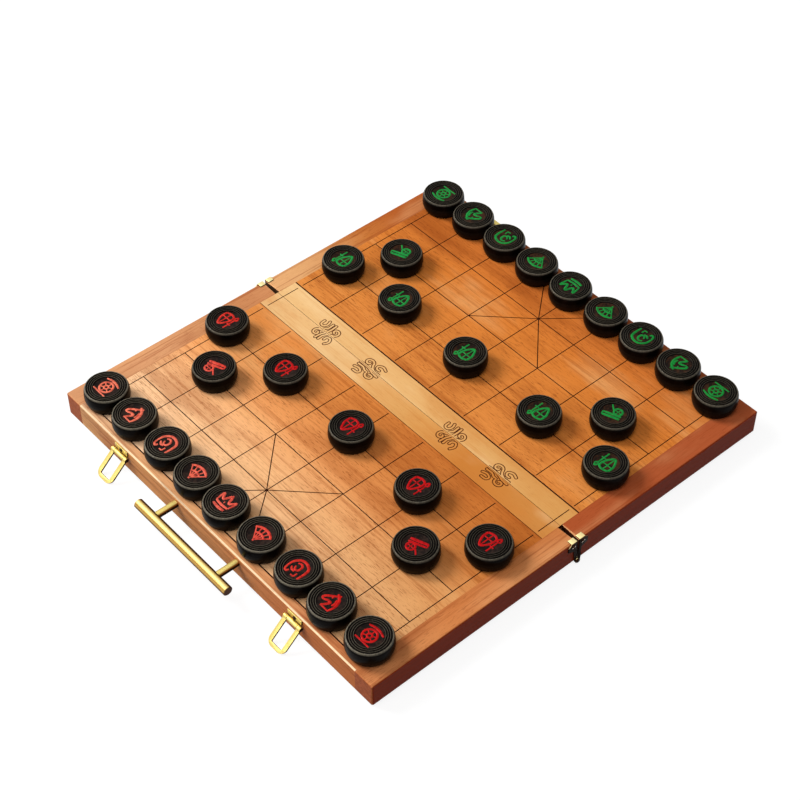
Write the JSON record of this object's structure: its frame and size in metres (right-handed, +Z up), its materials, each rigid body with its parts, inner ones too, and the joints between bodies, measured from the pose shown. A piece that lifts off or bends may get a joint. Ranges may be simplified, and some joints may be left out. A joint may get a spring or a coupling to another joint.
{
  "type": "xiangqi board box with men",
  "caption": "Folding wooden xiangqi board that shuts into a carrying box, with brass handle and latches, set out with turned black men.",
  "frame": {"origin": "middle of the whole outline on the table, under the open board", "axes": "+X from the handle's side across the river to the catches, +Y along the river away from the front hinge, +Z up"},
  "size_m": [0.422, 0.3726, 0.0395],
  "materials": {
    "board_wood": "clear satin lacquer, grain along the river",
    "river_wood": "clear satin lacquer, pale",
    "rail_wood": "red-brown satin lacquer",
    "foot_wood": "dark matt",
    "ebony": "polished black, turned",
    "brass": "polished"
  },
  "bodies": {
    "red_tray": {"red_front_rail": "rail_wood", "red_back_rail": "rail_wood", "red_end_rail": "rail_wood", "red_spine_rail": "rail_wood", "red_playing_panel": "board_wood", "red_river_strip": "river_wood", "red_feet": "foot_wood", "red_hinge_straps": "brass", "red_face_screws": "brass", "hinge_rivets": "brass", "handle_bar": "brass", "handle_posts": "brass", "handle_screws": "brass", "latch_plates": "brass", "latch_pins": "brass"},
    "green_tray": {"green_front_rail": "rail_wood", "green_back_rail": "rail_wood", "green_end_rail": "rail_wood", "green_spine_rail": "rail_wood", "green_playing_panel": "board_wood", "green_river_strip": "river_wood", "green_feet": "foot_wood", "green_hinge_straps": "brass", "green_face_screws": "brass", "catches": "brass"},
    "front_latch_bail": {"front_bail": "brass"},
    "back_latch_bail": {"back_bail": "brass"},
    "red_chariot_1_man": {"red_chariot_1": "ebony"},
    "red_horse_1_man": {"red_horse_1": "ebony"},
    "red_elephant_1_man": {"red_elephant_1": "ebony"},
    "red_advisor_1_man": {"red_advisor_1": "ebony"},
    "red_general_man": {"red_general": "ebony"},
    "red_advisor_2_man": {"red_advisor_2": "ebony"},
    "red_elephant_2_man": {"red_elephant_2": "ebony"},
    "red_horse_2_man": {"red_horse_2": "ebony"},
    "red_chariot_2_man": {"red_chariot_2": "ebony"},
    "red_cannon_1_man": {"red_cannon_1": "ebony"},
    "red_cannon_2_man": {"red_cannon_2": "ebony"},
    "red_soldier_1_man": {"red_soldier_1": "ebony"},
    "red_soldier_2_man": {"red_soldier_2": "ebony"},
    "red_soldier_3_man": {"red_soldier_3": "ebony"},
    "red_soldier_4_man": {"red_soldier_4": "ebony"},
    "red_soldier_5_man": {"red_soldier_5": "ebony"},
    "green_chariot_1_man": {"green_chariot_1": "ebony"},
    "green_horse_1_man": {"green_horse_1": "ebony"},
    "green_elephant_1_man": {"green_elephant_1": "ebony"},
    "green_advisor_1_man": {"green_advisor_1": "ebony"},
    "green_general_man": {"green_general": "ebony"},
    "green_advisor_2_man": {"green_advisor_2": "ebony"},
    "green_elephant_2_man": {"green_elephant_2": "ebony"},
    "green_horse_2_man": {"green_horse_2": "ebony"},
    "green_chariot_2_man": {"green_chariot_2": "ebony"},
    "green_cannon_1_man": {"green_cannon_1": "ebony"},
    "green_cannon_2_man": {"green_cannon_2": "ebony"},
    "green_soldier_1_man": {"green_soldier_1": "ebony"},
    "green_soldier_2_man": {"green_soldier_2": "ebony"},
    "green_soldier_3_man": {"green_soldier_3": "ebony"},
    "green_soldier_4_man": {"green_soldier_4": "ebony"},
    "green_soldier_5_man": {"green_soldier_5": "ebony"}
  },
  "joints": [
    {"name": "fold", "type": "hinge", "parent": "red_tray", "child": "green_tray", "pos_m": [0.00945, 0, 0.0028], "axis": [0, 1, 0], "range_deg": [0, 180]},
    {"name": "front_latch", "type": "hinge", "parent": "red_tray", "child": "front_latch_bail", "pos_m": [-0.18865, -0.101, 0.0166], "axis": [0, 1, 0], "range_deg": [-47.81, 120]},
    {"name": "back_latch", "type": "hinge", "parent": "red_tray", "child": "back_latch_bail", "pos_m": [-0.18865, 0.109, 0.0166], "axis": [0, 1, 0], "range_deg": [-47.81, 120]},
    {"name": "red_chariot_1_lift", "type": "slide", "parent": "red_tray", "child": "red_chariot_1_man", "axis": [0, 0, 1], "range_m": [0, 0.05]},
    {"name": "red_horse_1_lift", "type": "slide", "parent": "red_tray", "child": "red_horse_1_man", "axis": [0, 0, 1], "range_m": [0, 0.05]},
    {"name": "red_elephant_1_lift", "type": "slide", "parent": "red_tray", "child": "red_elephant_1_man", "axis": [0, 0, 1], "range_m": [0, 0.05]},
    {"name": "red_advisor_1_lift", "type": "slide", "parent": "red_tray", "child": "red_advisor_1_man", "axis": [0, 0, 1], "range_m": [0, 0.05]},
    {"name": "red_general_lift", "type": "slide", "parent": "red_tray", "child": "red_general_man", "axis": [0, 0, 1], "range_m": [0, 0.05]},
    {"name": "red_advisor_2_lift", "type": "slide", "parent": "red_tray", "child": "red_advisor_2_man", "axis": [0, 0, 1], "range_m": [0, 0.05]},
    {"name": "red_elephant_2_lift", "type": "slide", "parent": "red_tray", "child": "red_elephant_2_man", "axis": [0, 0, 1], "range_m": [0, 0.05]},
    {"name": "red_horse_2_lift", "type": "slide", "parent": "red_tray", "child": "red_horse_2_man", "axis": [0, 0, 1], "range_m": [0, 0.05]},
    {"name": "red_chariot_2_lift", "type": "slide", "parent": "red_tray", "child": "red_chariot_2_man", "axis": [0, 0, 1], "range_m": [0, 0.05]},
    {"name": "red_cannon_1_lift", "type": "slide", "parent": "red_tray", "child": "red_cannon_1_man", "axis": [0, 0, 1], "range_m": [0, 0.05]},
    {"name": "red_cannon_2_lift", "type": "slide", "parent": "red_tray", "child": "red_cannon_2_man", "axis": [0, 0, 1], "range_m": [0, 0.05]},
    {"name": "red_soldier_1_lift", "type": "slide", "parent": "red_tray", "child": "red_soldier_1_man", "axis": [0, 0, 1], "range_m": [0, 0.05]},
    {"name": "red_soldier_2_lift", "type": "slide", "parent": "red_tray", "child": "red_soldier_2_man", "axis": [0, 0, 1], "range_m": [0, 0.05]},
    {"name": "red_soldier_3_lift", "type": "slide", "parent": "red_tray", "child": "red_soldier_3_man", "axis": [0, 0, 1], "range_m": [0, 0.05]},
    {"name": "red_soldier_4_lift", "type": "slide", "parent": "red_tray", "child": "red_soldier_4_man", "axis": [0, 0, 1], "range_m": [0, 0.05]},
    {"name": "red_soldier_5_lift", "type": "slide", "parent": "red_tray", "child": "red_soldier_5_man", "axis": [0, 0, 1], "range_m": [0, 0.05]},
    {"name": "green_chariot_1_lift", "type": "slide", "parent": "green_tray", "child": "green_chariot_1_man", "axis": [0, 0, 1], "range_m": [0, 0.05]},
    {"name": "green_horse_1_lift", "type": "slide", "parent": "green_tray", "child": "green_horse_1_man", "axis": [0, 0, 1], "range_m": [0, 0.05]},
    {"name": "green_elephant_1_lift", "type": "slide", "parent": "green_tray", "child": "green_elephant_1_man", "axis": [0, 0, 1], "range_m": [0, 0.05]},
    {"name": "green_advisor_1_lift", "type": "slide", "parent": "green_tray", "child": "green_advisor_1_man", "axis": [0, 0, 1], "range_m": [0, 0.05]},
    {"name": "green_general_lift", "type": "slide", "parent": "green_tray", "child": "green_general_man", "axis": [0, 0, 1], "range_m": [0, 0.05]},
    {"name": "green_advisor_2_lift", "type": "slide", "parent": "green_tray", "child": "green_advisor_2_man", "axis": [0, 0, 1], "range_m": [0, 0.05]},
    {"name": "green_elephant_2_lift", "type": "slide", "parent": "green_tray", "child": "green_elephant_2_man", "axis": [0, 0, 1], "range_m": [0, 0.05]},
    {"name": "green_horse_2_lift", "type": "slide", "parent": "green_tray", "child": "green_horse_2_man", "axis": [0, 0, 1], "range_m": [0, 0.05]},
    {"name": "green_chariot_2_lift", "type": "slide", "parent": "green_tray", "child": "green_chariot_2_man", "axis": [0, 0, 1], "range_m": [0, 0.05]},
    {"name": "green_cannon_1_lift", "type": "slide", "parent": "green_tray", "child": "green_cannon_1_man", "axis": [0, 0, 1], "range_m": [0, 0.05]},
    {"name": "green_cannon_2_lift", "type": "slide", "parent": "green_tray", "child": "green_cannon_2_man", "axis": [0, 0, 1], "range_m": [0, 0.05]},
    {"name": "green_soldier_1_lift", "type": "slide", "parent": "green_tray", "child": "green_soldier_1_man", "axis": [0, 0, 1], "range_m": [0, 0.05]},
    {"name": "green_soldier_2_lift", "type": "slide", "parent": "green_tray", "child": "green_soldier_2_man", "axis": [0, 0, 1], "range_m": [0, 0.05]},
    {"name": "green_soldier_3_lift", "type": "slide", "parent": "green_tray", "child": "green_soldier_3_man", "axis": [0, 0, 1], "range_m": [0, 0.05]},
    {"name": "green_soldier_4_lift", "type": "slide", "parent": "green_tray", "child": "green_soldier_4_man", "axis": [0, 0, 1], "range_m": [0, 0.05]},
    {"name": "green_soldier_5_lift", "type": "slide", "parent": "green_tray", "child": "green_soldier_5_man", "axis": [0, 0, 1], "range_m": [0, 0.05]}
  ]
}
